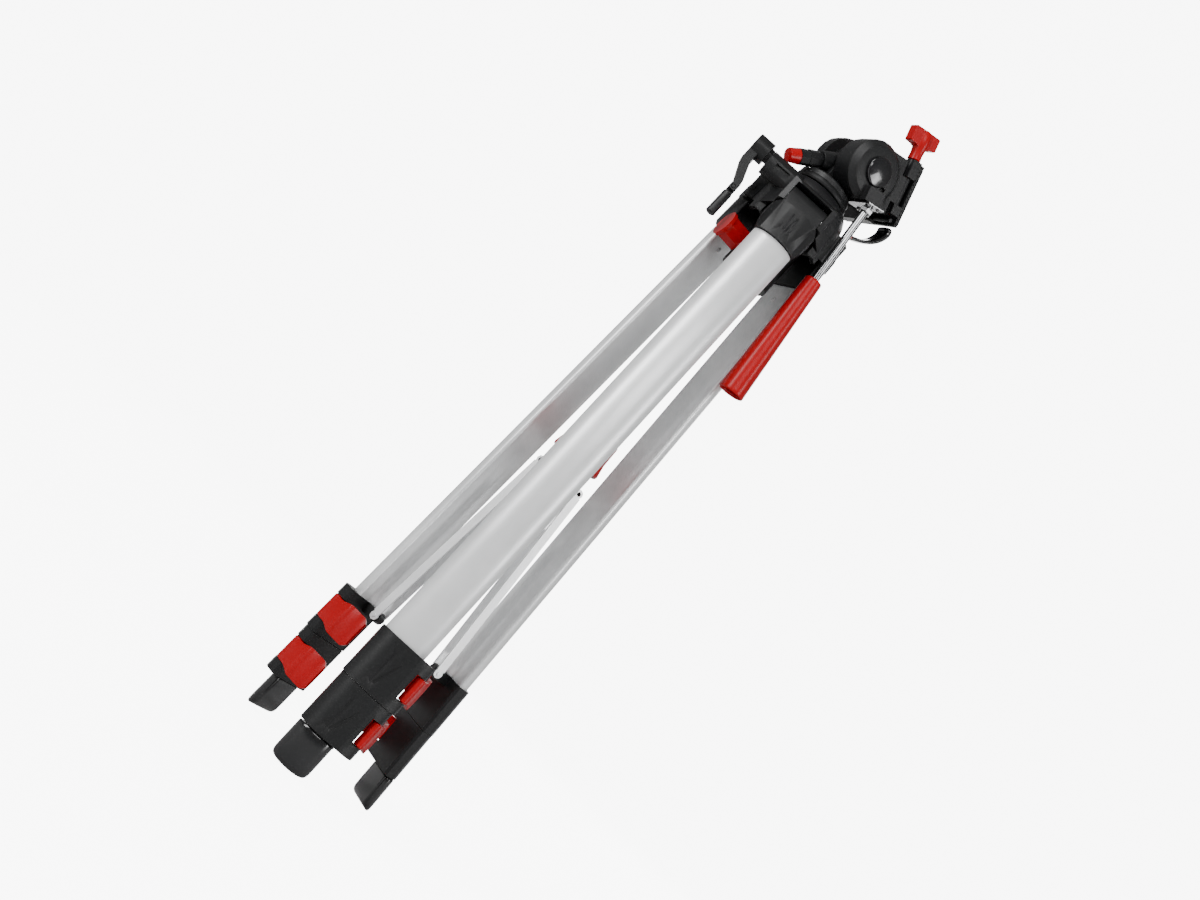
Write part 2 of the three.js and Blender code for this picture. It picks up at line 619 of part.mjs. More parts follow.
function handleRod() {
  const rod = handleShape(ROD.radius, [ROD.inner, ROD.outer]);
  const nut = handleShape(3.9, [1.8, 4.8], 3.9, 6);
  return join(rod, nut);
}

function handleGrip() {
  const shell = handleShape(GRIP.slim, [GRIP.start, GRIP.end], GRIP.wide, 16);
  const mouth = handleShape(GRIP.slim - 0.6, [60, GRIP.end + 1.4], GRIP.wide - 0.8, 16);
  return cut(shell, mouth, handleShape(ROD.radius + GAP, [GRIP.start - 2.6, 62]));
}

function platformBase() {
  const { front, rear, near, far, floor, seat } = PLATFORM;
  const deck = block([front, rear], [near, far], [floor, seat]);
  const recess = block([-13, 13], [-8, far - 4], [floor - 1, seat - 3]);
  const room = block([-8.4, 8.4], [near - 1, FLIP.y + 4.4], [floor - 1, seat + 1]);
  const eyes = [[front, -8.4], [8.4, 14]].map((span) => rodX(3.5, span, FLIP.y, FLIP.z));
  const leverBay = block([14.3, rear + 1], [near - 1, -4], [floor - 1, seat + 1]);
  const screwBore = rodZ(3.6, 0, PLATE_SCREW_Y, [floor, seat + 1]);
  const bolt = rodX(1.9, [-30, 30], FLIP.y, FLIP.z, 1.9, 12);
  const leverPin = rodY(1.2, RELEASE_PIN.x, [-20, -3], RELEASE_PIN.z, 1.2, 12);
  return join(cut(join(cut(deck, recess, room), ...eyes), leverBay, screwBore, bolt), leverPin);
}

function quickPlate() {
  const { front, rear, near, far, seat, top } = PLATFORM;
  const plate = block([front + 0.6, rear - 0.6], [near + 0.6, far - 0.6], [seat + GAP, top - 1.4]);
  return cut(plate, rodZ(3.5, 0, PLATE_SCREW_Y, [seat, top + 1], 3.5, 16));
}

function platePad() {
  const { front, rear, near, far, top } = PLATFORM;
  const pad = block([front + 2, rear - 2], [near + 2, far - 2], [top - 1.4 + GAP, top]);
  return cut(pad, rodZ(3.9, 0, PLATE_SCREW_Y, [top - 3, top + 1], 3.9, 16));
}

function cameraScrew() {
  const { seat, top } = PLATFORM;
  return join(rodZ(3.1, 0, PLATE_SCREW_Y, [seat - 2.4, top + 4.6], 2.9, 14),
    rodZ(3.4, 0, PLATE_SCREW_Y, [seat + 0.6, seat + 2], 3.2, 14));
}

function flipKnob() {
  const bolt = rodX(1.6, [-27, 13.6], FLIP.y, FLIP.z, 1.6, 12);
  const stem = rodX(3.9, [-28, -19.2], FLIP.y, FLIP.z, 3.9, 14);
  const wing = block([-37, -27], [FLIP.y - 3, FLIP.y + 3], [FLIP.z - 10, FLIP.z + 9.6]);
  return join(bolt, stem, wing);
}

// Curved blade hanging from the platform's lower edge, outlined in (x, z).
function releaseLever() {
  const { x, z } = RELEASE_PIN;
  const blade = new THREE.Shape();
  blade.moveTo(24.6, 32.2);
  blade.bezierCurveTo(30, 28, 37.6, 22, 38.2, 13);
  blade.lineTo(37.4, 7);
  blade.quadraticCurveTo(36.6, 5.6, 35.6, 7);
  blade.bezierCurveTo(35, 15, 33, 19, 25, 24.4);
  blade.lineTo(x, z - 2.2);
  blade.lineTo(x, z + 2.2);
  blade.lineTo(21, 29);
  const plate = join(raiseAlongY(blade, RELEASE_SPAN, 5), rodY(2.4, x, RELEASE_SPAN, z));
  return cut(plate, rodY(1.5, x, [-24, -4], z, 1.5, 12));
}

// ---- Assembly ----

// One leg's group stands on its hinge; the strut and the hinge pin stay upright beside it.
function addLeg(group, name, turnAngle) {
  const turn = new THREE.Group();
  turn.rotation.z = turnAngle;
  const leg = new THREE.Group();
  leg.position.set(0, -HINGE_RADIUS, HINGE_HEIGHT);
  leg.rotation.x = -FOLDED_SPLAY;
  turn.add(leg);
  group.add(turn);
  const middleFlat = INNER_FACE - UPPER.wall - GAP;
  const lowerFlat = middleFlat - MIDDLE.wall - GAP;
  addPiece(leg, `${name}_upper_tube`, "alloy", dTube(UPPER, INNER_FACE));
  addPiece(leg, `${name}_middle_tube`, "alloy", dTube(MIDDLE, middleFlat));
  addPiece(leg, `${name}_lower_tube`, "alloy", dTube(LOWER, lowerFlat));
  addPiece(leg, `${name}_top_fitting`, "black", topFitting());
  addPiece(leg, `${name}_upper_collar`, "black", upperCollar());
  addPiece(leg, `${name}_upper_lever`, "red", flipLever(COLLAR_TOP, 0));
  addPiece(leg, `${name}_lower_collar`, "black", lowerCollar());
  addPiece(leg, `${name}_lower_lever`, "red", flipLever(COLLAR_TOP - COLLAR_HEIGHT, LOWER_TRIM));
  addPiece(leg, `${name}_foot`, "gloss", footBoot());
  addPiece(turn, `${name}_hinge_pin`, "steel", hingePin());
  addStrut(turn, name);
}

function addStrut(turn, name) {
  const brace = addPiece(turn, `${name}_strut`, "alloy", strut());
  const run = STRUT_FOOT.radius - STRUT_HEAD.radius;
  const rise = STRUT_HEAD.height - STRUT_FOOT.height;
  brace.position.set(0, -STRUT_FOOT.radius, STRUT_FOOT.height);
  brace.rotation.x = -Math.atan2(run, rise);
}

function addColumnAndCrank(group) {
  addPiece(group, "centre_column", "alloy", column());
  addPiece(group, "column_rack", "black", rack());
  addPiece(group, "column_end_cap", "red", columnCap());
  addPiece(group, "pan_base", "black", panBase());
  addPiece(group, "crank_shaft", "steel", crankShaft());
  addPiece(group, "crank_arm", "black", crankArm());
  addPiece(group, "crank_grip", "black", crankGrip());
  addPiece(group, "column_lock_knob", "red", lockKnob());
}

function addHead(group) {
  const head = new THREE.Group();
  head.rotation.z = PAN_TURN;
  group.add(head);
  addPiece(head, "pan_housing", "black", panHousing());
  addPiece(head, "pan_spindle", "steel", panSpindle());
  addPiece(head, "pan_lever", "black", panLever());
  addPiece(head, "pan_lever_cap", "red", panLeverCap());
  const tilt = new THREE.Group();
  tilt.position.set(TILT.x, 0, TILT.z);
  tilt.rotation.y = TILT.stowed;
  head.add(tilt);
  addTiltHead(tilt);
}

function addTiltHead(tilt) {
  addPiece(tilt, "tilt_body", "black", tiltBody());
  addPiece(tilt, "tilt_axle", "steel", tiltAxle());
  addPiece(tilt, "tilt_axle_cap", "black", axleCap());
  addPiece(tilt, "handle_strap", "steel", handleStrap());
  addPiece(tilt, "handle_rod", "steel", handleRod());
  addPiece(tilt, "handle_grip", "red", handleGrip());
  addPiece(tilt, "platform", "black", platformBase());
  addPiece(tilt, "quick_plate", "black", quickPlate());
  addPiece(tilt, "quick_plate_pad", "rubber", platePad());
  addPiece(tilt, "camera_screw", "steel", cameraScrew());
  addPiece(tilt, "flip_lock_knob", "red", flipKnob());
  addPiece(tilt, "release_lever", "gloss", releaseLever());
}

const tripod = new THREE.Group();
["front_leg", "right_leg", "left_leg"].forEach((name, i) => addLeg(tripod, name, i * LEG_STEP));
addPiece(tripod, "spreader_hub", "black", spreaderHub());
addPiece(tripod, "crown", "black", crown());
addColumnAndCrank(tripod);
addHead(tripod);
export default tripod;
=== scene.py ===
import json
import math
import bpy
import bmesh
from mathutils import Matrix, Vector

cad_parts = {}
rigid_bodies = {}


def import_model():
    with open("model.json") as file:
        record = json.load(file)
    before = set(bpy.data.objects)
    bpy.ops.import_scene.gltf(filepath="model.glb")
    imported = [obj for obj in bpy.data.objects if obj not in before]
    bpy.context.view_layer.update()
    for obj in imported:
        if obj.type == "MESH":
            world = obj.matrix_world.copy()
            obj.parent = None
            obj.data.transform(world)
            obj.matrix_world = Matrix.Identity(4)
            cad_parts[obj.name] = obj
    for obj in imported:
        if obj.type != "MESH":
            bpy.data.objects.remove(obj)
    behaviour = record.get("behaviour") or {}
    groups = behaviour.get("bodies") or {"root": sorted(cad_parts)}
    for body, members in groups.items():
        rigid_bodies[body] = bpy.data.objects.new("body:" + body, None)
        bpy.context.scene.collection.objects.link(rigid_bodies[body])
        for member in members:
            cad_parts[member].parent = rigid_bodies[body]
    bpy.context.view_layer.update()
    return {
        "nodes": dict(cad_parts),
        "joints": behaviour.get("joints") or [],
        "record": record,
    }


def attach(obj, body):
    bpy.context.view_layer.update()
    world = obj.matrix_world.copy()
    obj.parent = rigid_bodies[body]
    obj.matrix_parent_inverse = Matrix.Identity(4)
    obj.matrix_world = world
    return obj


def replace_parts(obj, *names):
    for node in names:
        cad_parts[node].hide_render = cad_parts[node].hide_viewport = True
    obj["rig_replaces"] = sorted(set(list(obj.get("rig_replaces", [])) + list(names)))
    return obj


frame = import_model()
MM = 0.001
JOINTS = {j["name"]: j for j in frame["joints"]}
LEGS = ("front_leg", "right_leg", "left_leg")
SLOT_OF = {s["node"]: s["material_slot"] for s in frame["record"]["subparts"]}
BODY_OF = {n: b for b, ns in frame["record"]["behaviour"]["bodies"].items() for n in ns}


# ---------------------------------------------------------------- materials

# Noises as (scale, detail).
TONE_NOISE = (35, 3)
WEAR_NOISE = (220, 4)
WAVE_NOISE = (90, 2)
GRAIN_DETAIL = 2
TONE_SPAN = (0.3, 0.7)
GRAIN_DEPTH = 0.1 * MM
WAVE_DEPTH = 0.4 * MM
COAT_ROUGHNESS = 0.12


def new_material(name):
    mat = bpy.data.materials.new(name)
    mat.use_nodes = True
    return mat, mat.node_tree, mat.node_tree.nodes["Principled BSDF"]


def noise(tree, scale, detail, stretch=(1, 1, 1)):
    coords = tree.nodes.new("ShaderNodeTexCoord")
    mapping = tree.nodes.new("ShaderNodeMapping")
    mapping.inputs["Scale"].default_value = stretch
    tex = tree.nodes.new("ShaderNodeTexNoise")
    tex.inputs["Scale"].default_value = scale
    tex.inputs["Detail"].default_value = detail
    tree.links.new(coords.outputs["Object"], mapping.inputs["Vector"])
    tree.links.new(mapping.outputs["Vector"], tex.inputs["Vector"])
    return tex


def tone_ramp(tree, source, low, high):
    node = tree.nodes.new("ShaderNodeValToRGB")
    for element, position, color in zip(node.color_ramp.elements, TONE_SPAN, (low, high)):
        element.position = position
        element.color = (*color, 1)
    tree.links.new(source.outputs["Fac"], node.inputs["Fac"])
    return node


def value_range(tree, source, output, low, high):
    node = tree.nodes.new("ShaderNodeMapRange")
    node.inputs["To Min"].default_value = low
    node.inputs["To Max"].default_value = high
    tree.links.new(source.outputs[output], node.inputs["Value"])
    return node


def bump(tree, shader, source, strength, distance, after=None):
    node = tree.nodes.new("ShaderNodeBump")
    node.inputs["Strength"].default_value = strength
    node.inputs["Distance"].default_value = distance
    tree.links.new(source.outputs["Fac"], node.inputs["Height"])
    if after is not None:
        tree.links.new(after.outputs["Normal"], node.inputs["Normal"])
    tree.links.new(node.outputs["Normal"], shader.inputs["Normal"])
    return node


def surface(name, low, high, rough, grain, metallic=0.0, stretch=(1, 1, 1), wave=0.02, coat=0.0,
            specular=0.5):
    """A surface with tone drift, roughness drift and two sizes of relief; grain is (scale, strength)."""
    mat, tree, shader = new_material(name)
    tone = tone_ramp(tree, noise(tree, *TONE_NOISE), low, high)
    tree.links.new(tone.outputs["Color"], shader.inputs["Base Color"])
    spread = value_range(tree, noise(tree, *WEAR_NOISE, stretch), "Fac", *rough)
    tree.links.new(spread.outputs["Result"], shader.inputs["Roughness"])
    grain_scale, grain_strength = grain
    fine = bump(tree, shader, noise(tree, grain_scale, GRAIN_DETAIL, stretch), grain_strength, GRAIN_DEPTH)
    bump(tree, shader, noise(tree, *WAVE_NOISE), wave, WAVE_DEPTH, fine)
    shader.inputs["Metallic"].default_value = metallic
    shader.inputs["Coat Weight"].default_value = coat
    shader.inputs["Coat Roughness"].default_value = COAT_ROUGHNESS
    shader.inputs["Specular IOR Level"].default_value = specular
    return mat


MATERIALS = {
    "alloy": surface(
        "alloy", low=(0.72, 0.725, 0.73), high=(0.84, 0.845, 0.85), rough=(0.32, 0.42), grain=(1500, 0.12),
        metallic=0.40, stretch=(1, 1, 0.04), wave=0.01),
    "black_plastic": surface(
        "black_plastic", low=(0.0035, 0.0037, 0.0040), high=(0.0070, 0.0073, 0.0078), rough=(0.36, 0.50),
        grain=(2600, 0.30), specular=0.32),
    "gloss_black": surface(
        "gloss_black", low=(0.002, 0.002, 0.0024), high=(0.004, 0.004, 0.005), rough=(0.10, 0.18),
        grain=(900, 0.03), coat=0.4, specular=0.45),
    "red_plastic": surface(
        "red_plastic", low=(0.33, 0.0002, 0.0022), high=(0.38, 0.0005, 0.0035), rough=(0.27, 0.31),
        grain=(1400, 0.02), wave=0.002, specular=0.22),
    "steel": surface(
        "steel", low=(0.24, 0.243, 0.247), high=(0.34, 0.343, 0.348), rough=(0.10, 0.18), grain=(700, 0.03),
        metallic=1.0, stretch=(1, 1, 0.2)),
    "rubber": surface(
        "rubber", low=(0.006, 0.006, 0.006), high=(0.012, 0.012, 0.012), rough=(0.75, 0.9), grain=(2000, 0.5),
        specular=0.2),
}


# ---------------------------------------------------------------- frames of reference

def basis(origin, x, y, z):
    m = Matrix.Identity(4)
    for column, axis in enumerate((x, y, z)):
        for row in range(3):
            m[row][column] = axis[row]
    for row in range(3):
        m[row][3] = origin[row]
    return m


def hinge_of(leg):
    """Place of the leg's hinge and the direction of its pin."""
    spread = JOINTS[leg.split("_")[0] + "_spread"]
    return Vector(spread["pos_m"]), -Vector(spread["axis"]).normalized()


def leg_frame(leg):
    """Origin on the leg's hinge, +Z up the leg and -Y away from the column."""
    place, x = hinge_of(leg)
    z = -Vector(JOINTS[leg.split("_")[0] + "_middle_slide"]["axis"]).normalized()
    return basis(place, x, z.cross(x), z)


def tilt_frame():
    """Origin on the tilt axis, +Y along it and +Z out of the platform."""
    tilt = JOINTS["tilt"]
    y = Vector(tilt["axis"]).normalized()
    x = Vector(JOINTS["platform_flip"]["axis"]).normalized()
    return basis(Vector(tilt["pos_m"]), x, y, x.cross(y))


TILT_FRAME = tilt_frame()


# ---------------------------------------------------------------- building meshes

NEARLY_PARALLEL = 0.1


def add_object(name, bm, body, slot, matrix, sharp):
    """Turns a bmesh in millimetres into an object that rides on a body."""
    bmesh.ops.recalc_face_normals(bm, faces=bm.faces)
    mesh = bpy.data.meshes.new(name)
    bm.to_mesh(mesh)
    bm.free()
    mesh.transform(matrix @ Matrix.Scale(MM, 4))
    mesh.materials.append(MATERIALS[slot])
    mesh.shade_smooth()
    mesh.set_sharp_from_angle(angle=math.radians(sharp))
    obj = bpy.data.objects.new(name, mesh)
    bpy.context.scene.collection.objects.link(obj)
    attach(obj, body)
    return obj


def add_piece(name, bm, node, matrix, sharp=32):
    """A piece that stands for a CAD node."""
    obj = add_object(name, bm, BODY_OF[node], SLOT_OF[node], matrix, sharp)
    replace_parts(obj, node)
    return obj


def add_bevel(obj, width, segments, angle):
    mod = obj.modifiers.new("edges", "BEVEL")
    mod.width = width * MM
    mod.segments = segments
    mod.limit_method = "ANGLE"
    mod.angle_limit = math.radians(angle)
    mod.harden_normals = True


def loft(bm, rings, closed=False):
    """Quads between rings of equal length, with end caps or, when closed, back to the first ring."""
    loops = [[bm.verts.new(p) for p in ring] for ring in rings]
    pairs = list(zip(loops, loops[1:]))
    if closed:
        pairs.append((loops[-1], loops[0]))
    for a, b in pairs:
        n = len(a)
        for i in range(n):
            bm.faces.new((a[i], a[(i + 1) % n], b[(i + 1) % n], b[i]))
    if not closed:
        bm.faces.new(list(reversed(loops[0])))
        bm.faces.new(loops[-1])


def box(bm, x, y, z):
    """Closed block between three pairs of limits."""
    rings = [[(x[0], y[0], h), (x[1], y[0], h), (x[1], y[1], h), (x[0], y[1], h)] for h in z]
    loft(bm, rings)


def turned(direction, point, profile, steps):
    """Rings of a turned shape: profile is (radius, distance) along a direction from a point."""
    axis = Vector(direction).normalized()
    side = axis.cross(Vector((0, 1, 0)))
    if side.length < NEARLY_PARALLEL:
        side = axis.cross(Vector((1, 0, 0)))
    side.normalize()
    other = axis.cross(side)
    rings = []
    for radius, reach in profile:
        centre = Vector(point) + axis * reach
        ring = []
        for i in range(steps):
            a = 2 * math.pi * i / steps
            ring.append(tuple(centre + side * radius * math.cos(a) + other * radius * math.sin(a)))
        rings.append(ring)
    return rings


def d_ring(width, depth, flat, z, steps=40, corner=1.6):
    """D-shaped ring: flat on +Y with rounded corners, half ellipse on -Y."""
    half = width / 2
    corner = min(corner, depth / 3)
    corner_steps = 6
    pts = []
    for i in range(steps + 1):
        a = math.pi * i / steps
        pts.append((-half * math.cos(a), flat - corner - (depth - corner) * math.sin(a), z))
    for i in range(1, corner_steps + 1):
        a = 0.5 * math.pi * i / corner_steps
        pts.append((half - corner * (1 - math.cos(a)), flat - corner + corner * math.sin(a), z))
    for i in range(corner_steps):
        a = 0.5 * math.pi * i / corner_steps
        pts.append((-half + corner * (1 - math.sin(a)), flat - corner + corner * math.cos(a), z))
    return pts


# ---------------------------------------------------------------- legs, in millimetres in the leg's frame

SECTIONS = {
    "upper_tube": dict(width=26, depth=10, wall=0.9, flat=3.6, top=-27, bottom=-337),
    "middle_tube": dict(width=23.6, depth=7.6, wall=0.8, flat=2.4, top=-62, bottom=-367),
    "lower_tube": dict(width=21.4, depth=5.4, wall=0.8, flat=1.3, top=-74, bottom=-375),
}
TUBE_LIP = 0.25
RIVET_HEIGHT = -37
RIVET = [(1.7, -0.2), (1.7, 0.25), (1.3, 0.6), (0.6, 0.75)]

# Each lever's middle height, and how much nearer the leg's axis it stands than the upper one.
LEVERS = {
    "upper": dict(middle=-329.85, shift=0),
    "lower": dict(middle=-359.85, shift=1.3),
}
# The blade: its hinged end and length along Y, its outer face along X and half its height along Z.
BLADE_ROOT = -1.8
BLADE_LENGTH = 26.0
BLADE_FACE = 21.1
BLADE_THICK = 2.2
BLADE_HALF = 7.5
BLADE_STATIONS = 22
BLADE_COLUMNS = 8
FLARE = 2.2
FLARE_START = 4.2
FLARE_RUN = 9
# Places along the blade are shares of its length, from 0 at the hinge to 1 at the tip.
TIP_START = 0.88
TIP_NARROWING = 2.4
BOW = 2.1
BOW_EARLY = 1.1
SINK = 2.4
SINK_START = 0.8
SPINE = 0.75
SPINE_PLACE = 0.52
SPINE_SPREAD = 0.05
# Across the blade: how far the face's edges fall back, the back's edges stand out, and the back is narrower.
CROWNING = 0.35
HOLLOWING = 0.2
BACK_INSET = 0.4
BARREL = (18.7, -0.4)
BARREL_PROFILE = [(2.4, -7.5), (2.9, -7.1), (2.9, 7.1), (2.4, 7.5)]
PIN_PROFILE = [(1.2, -13), (1.2, 13)]

# The liner behind the upper lever.
LINER_X = (14.6, 15.45)
LINER_Y = (-5.6, 4.3)
LINER_HALF = 7.85

BOOT = dict(width=22, depth=8.6, flat=1.6)
BOOT_TOP = -375.3
BOOT_TIP = -397.5
BOOT_ASIDE = 1.8
BOOT_CORNER = 2.6
GROUND_SLOPE = math.tan(math.radians(20.7))
# Share of the way from the boot's lip to the ground, and how far the outline has grown there.
BOOT_STATIONS = [(0, -0.5), (0.02, -0.1), (0.05, 0), (0.3, 0), (0.6, 0.05), (0.86, 0), (0.93, -0.25),
                 (0.975, -0.8), (1, -1.8)]
# The plug that reaches up inside the lower tube, with its run from the boot's lip.
BOOT_PLUG = dict(width=19, depth=3, flat=0.1)
BOOT_PLUG_RUN = (-1, 13.6)

# Hinge plugs stand on the crown's faces at this distance from the leg's middle.
PLUG_FACE = 15.15
PLUG_PROFILE = [(1.8, 0), (1.8, 0.35), (1.2, 0.6)]


def tube_section(leg, part, width, depth, wall, flat, top, bottom):
    """Extruded D-section tube with softened lips and, on the upper one, a rivet in its flat face."""
    outside = dict(width=width, depth=depth, flat=flat)
    eased = dict(width=width - TUBE_LIP, depth=depth - TUBE_LIP, flat=flat - TUBE_LIP / 2)
    inside = dict(width=width - 2 * wall, depth=depth - 2 * wall, flat=flat - wall)
    rings = [d_ring(z=bottom + TUBE_LIP, **outside), d_ring(z=top - TUBE_LIP, **outside),
             d_ring(z=top, **eased), d_ring(z=top, **inside),
             d_ring(z=bottom, **inside), d_ring(z=bottom, **eased)]
    bm = bmesh.new()
    loft(bm, rings, closed=True)
    if part == "upper_tube":
        loft(bm, turned((0, 1, 0), (0, flat, RIVET_HEIGHT), RIVET, steps=20))
    add_piece(f"{leg}_{part}_section", bm, f"{leg}_{part}", leg_frame(leg))


def smooth_step(t):
    t = min(1, max(0, t))
    return t * t * (3 - 2 * t)


def blade_half(t, y):
    """Half height of the blade: it flares past the collar's slot and rounds in towards its tip."""
    half = BLADE_HALF + FLARE * smooth_step((y - FLARE_START) / FLARE_RUN)
    if t > TIP_START:
        half -= TIP_NARROWING * ((t - TIP_START) / (1 - TIP_START)) ** 2
    return half


def blade_section(t, middle, shift):
    """Outline of the blade at a share of its length: a crowned face out and a hollowed back in."""
    y = BLADE_ROOT + BLADE_LENGTH * t
    half = blade_half(t, y)
    bow = BOW * math.sin(math.pi * min(1, t * BOW_EARLY)) - SINK * max(0, t - SINK_START)
    spine = SPINE * math.exp(-((t - SPINE_PLACE) / SPINE_SPREAD) ** 2)
    back = BLADE_FACE + bow - BLADE_THICK - shift
    face = back + BLADE_THICK + spine
    across = [-1 + 2 * k / BLADE_COLUMNS for k in range(BLADE_COLUMNS + 1)]
    outer = [(face - CROWNING * a ** 4, y, middle + a * half) for a in across]
    inner = [(back + HOLLOWING * a ** 4, y, middle + a * (half - BACK_INSET)) for a in reversed(across)]
    return outer + inner


def lever_blade(leg, level, middle, shift):
    """Flip lever: a bowed plate with a raised spine, its hinge barrel and the pin through it."""
    bm = bmesh.new()
    loft(bm, [blade_section(i / BLADE_STATIONS, middle, shift) for i in range(BLADE_STATIONS + 1)])
    centre = (BARREL[0] - shift, BARREL[1], middle)
    loft(bm, turned((0, 0, 1), centre, BARREL_PROFILE, steps=32))
    loft(bm, turned((0, 0, 1), centre, PIN_PROFILE, steps=20))
    node = f"{leg}_{level}_lever"
    blade = add_piece(node + "_blade", bm, node, leg_frame(leg), sharp=40)
    add_bevel(blade, width=0.25, segments=2, angle=40)


def slot_liner(leg, level, middle, shift):
    """Wall that closes the collar's ear behind the lever's barrel."""
    bm = bmesh.new()
    box(bm, [x - shift for x in LINER_X], LINER_Y, (middle - LINER_HALF, middle + LINER_HALF))
    body = leg if level == "upper" else leg + "_middle"
    add_object(f"{leg}_{level}_slot_liner", bm, body, "black_plastic", leg_frame(leg), sharp=30)


def foot_boot(leg):
    """Moulded boot: a rounded D that swells below its lip and ends on the open leg's ground line."""
    rings = []
    for share, grow in BOOT_STATIONS:
        width = BOOT["width"] + 2 * grow
        depth = BOOT["depth"] + 2 * grow
        ring = []
        for x, y, _ in d_ring(width, depth, BOOT["flat"] + grow, z=0, steps=56, corner=BOOT_CORNER):
            ground = BOOT_TIP + GROUND_SLOPE * (y - BOOT["flat"] + BOOT["depth"])
            ring.append((x - BOOT_ASIDE, y, BOOT_TOP + share * (ground - BOOT_TOP)))
        rings.append(ring)
    bm = bmesh.new()
    loft(bm, rings)
    loft(bm, [d_ring(z=BOOT_TOP + run, steps=24, **BOOT_PLUG) for run in BOOT_PLUG_RUN])
    add_piece(f"{leg}_foot_boot", bm, f"{leg}_foot", leg_frame(leg), sharp=50)


def hinge_plugs(leg):
    """Small moulded plugs that close both ends of the hinge pin's hole in the crown."""
    bm = bmesh.new()
    for side in (-1, 1):
        loft(bm, turned((side, 0, 0), (side * PLUG_FACE, 0, 0), PLUG_PROFILE, steps=24))
    place, x = hinge_of(leg)
    upright = basis(place, x, Vector((0, 0, 1)).cross(x), (0, 0, 1))
    add_object(leg + "_hinge_plugs", bm, "crown", "black_plastic", upright, sharp=35)


for leg in LEGS:
    foot_boot(leg)
    for level, place in LEVERS.items():
        slot_liner(leg, level, **place)
    hinge_plugs(leg)
    for part, facts in SECTIONS.items():
        tube_section(leg, part, **facts)
    for level, place in LEVERS.items():
        lever_blade(leg, level, **place)


# ---------------------------------------------------------------- head, in millimetres in the tilt frame

DROOP = math.radians(14.05)
HANDLE_LINE = (math.cos(DROOP), 0, -math.sin(DROOP))
HANDLE_POINT = (19.1, -24.7, 3.6)
GRIP_OUTSIDE = [(4.3, 52.6), (5.0, 52.9), (5.25, 53.6), (5.3, 55), (6.1, 80), (6.9, 105), (7.65, 129.6),
                (7.75, 130.6), (7.6, 131.3), (7.1, 131.6)]
GRIP_BORE = [(6.75, 131.2), (6.6, 129.5), (5.6, 100), (4.7, 63), (2.65, 62), (2.65, 53.2)]
ROD_PROFILE = [(1.9, -9), (2.35, -8.5), (2.35, 54.6), (2.0, 55)]
ROD_NUT = [(3.4, 1.8), (3.9, 2.2), (3.9, 4.4), (3.4, 4.8)]

FLIP_LINE = (-1, 0, 0)
FLIP_POINT = (0, -16.4, 24.6)
WING_HALF = 3
# The wing's outline: along the platform's normal, then along the knob's axis.
WING = [(-10, -28.0), (-10, -36.4), (-9.5, -36.9), (-2.5, -37), (9.0, -36.9), (9.6, -36.3), (9.6, -29.2),
        (8.8, -28.6), (5.4, -28.2), (4.2, -26.9), (-4.2, -26.9), (-5.4, -27.4), (-9.4, -27.6)]
KNOB_STEM = [(3.3, 19.2), (3.9, 19.6), (3.7, 23), (4.0, 26), (4.6, 28), (4.6, 34), (3.6, 36.6), (2.2, 37.4),
             (0.8, 37.6)]
KNOB_BOLT = [(1.6, -13.6), (1.6, 19.6)]

# The release lever's middle line, x and z, and its thickness at each of those points.
RELEASE_LINE = [(20.9, 27.6), (23.6, 29.2), (27.4, 27.6), (31.2, 24.2), (34.2, 19.8), (36.0, 14.6),
                (36.7, 10), (36.6, 6.8)]
RELEASE_THICK = [4.4, 4.6, 4.2, 3.4, 2.8, 2.4, 2.0, 1.2]
RELEASE_EDGES = (-20.3, -8.7)
RELEASE_FLARE = 0.25
RELEASE_CROWN = 1.12
RELEASE_HOLLOW = 0.86
TIP_OUTLINE = [(37.2, 8.6), (37.7, 7.2), (37.2, 5.4), (36.3, 4.9), (35.6, 5.6), (35.6, 7.4), (36.2, 8.6)]
TIP_EDGES = (-17.4, -11.6)

STRAP_FACE = 19.3
STRAP_RIVETS = [(-28.6, 7.6), (-11.4, 7.6), (-28.6, -0.2)]
STRAP_DOME = [(0.6, -0.4), (1.5, -0.3), (1.5, 0.2), (1.1, 0.7), (0.4, 0.95)]

PLATFORM_SIDE = -20.6
RIB_FACE = -21.0
RAIL_FACE = -20.95
RIB_WIDTH = 1.1
RIB_STARTS = (-18.2, -15.8, -13.4, -11.0, 9.6, 12.2)
RIB_HEIGHTS = (22.3, 28.0)
RAILS = [(-18.9, -8.9), (8.9, 14.0)]
RAIL_HEIGHTS = (22.05, 23.0)

KNURL_COUNT = 14
KNURL_START = -17.2
KNURL_RUN = 35.0
KNURL_HALF = 0.55
KNURL_EDGES = [(-21.0, -20.2), (26.0, 26.75)]
KNURL_HEIGHTS = (28.9, 30.8)


def handle_grip():
    """Tapered grip, open at its far end and bored for the rod."""
    bm = bmesh.new()
    loft(bm, turned(HANDLE_LINE, HANDLE_POINT, GRIP_OUTSIDE + GRIP_BORE, steps=64), closed=True)
    add_piece("handle_grip_shell", bm, "handle_grip", TILT_FRAME, sharp=50)


def handle_rod():
    """Round rod with a hexagonal nut beside its bracket strip."""
    bm = bmesh.new()
    loft(bm, turned(HANDLE_LINE, HANDLE_POINT, ROD_PROFILE, steps=40))
    loft(bm, turned(HANDLE_LINE, HANDLE_POINT, ROD_NUT, steps=6))
    add_piece("handle_rod_bar", bm, "handle_rod", TILT_FRAME, sharp=35)


def flip_knob_wing():
    """The knob's bar, with canted ends."""
    bm = bmesh.new()
    _, y, z = FLIP_POINT
    loft(bm, [[(reach, y + w, z + rise) for rise, reach in WING] for w in (-WING_HALF, WING_HALF)])
    wing = add_piece("flip_knob_wing", bm, "flip_lock_knob", TILT_FRAME, sharp=25)
    add_bevel(wing, width=0.7, segments=3, angle=25)


